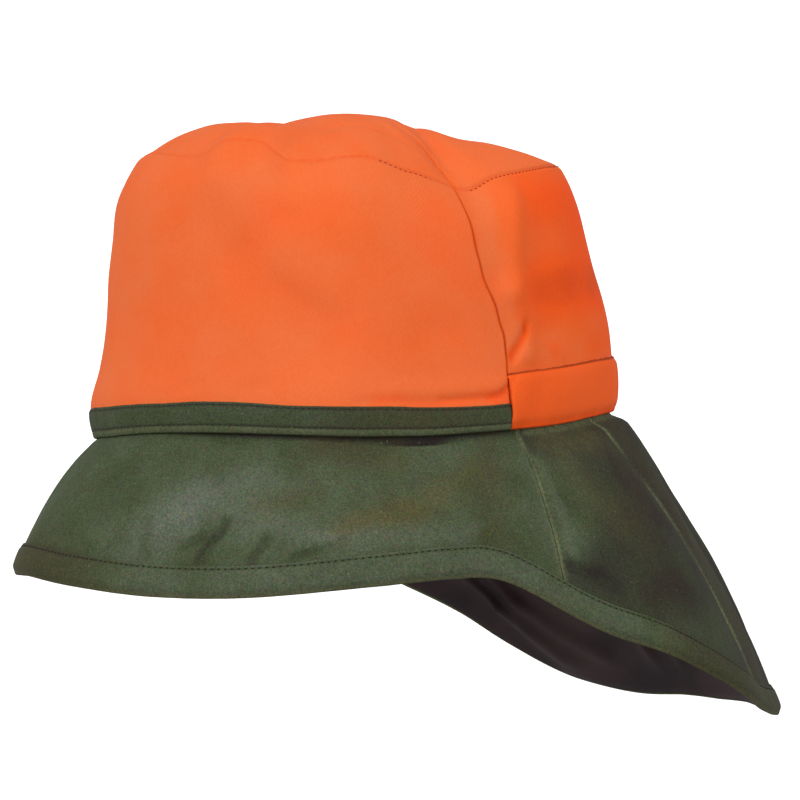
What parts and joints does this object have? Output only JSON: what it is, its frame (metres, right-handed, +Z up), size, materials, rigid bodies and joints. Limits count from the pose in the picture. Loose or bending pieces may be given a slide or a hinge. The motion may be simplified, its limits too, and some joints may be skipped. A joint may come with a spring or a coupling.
{
  "type": "sou'wester hat",
  "caption": "Soft orange and dark green sou'wester hat with a long flap over the neck, held as it is worn.",
  "frame": {"origin": "middle of the head opening, at the height of the crown's foot", "axes": "+Z up, -Y towards the front of the hat, +X towards the wearer's left"},
  "size_m": [0.2196, 0.3129, 0.2372],
  "materials": {
    "orange_twill": "matt woven twill",
    "green_cotton": "brushed waxed cotton",
    "dark_lining": "smooth dark lining"
  },
  "bodies": {
    "root": {"crown_top": "orange_twill", "crown_wrap": "orange_twill", "crown_back": "orange_twill", "back_casing": "orange_twill", "edge_band": "green_cotton", "brim_front": "green_cotton", "brim_side_left": "green_cotton", "brim_back": "green_cotton", "brim_side_right": "green_cotton", "brim_lining": "dark_lining", "brim_hem": "green_cotton"}
  },
  "joints": []
}
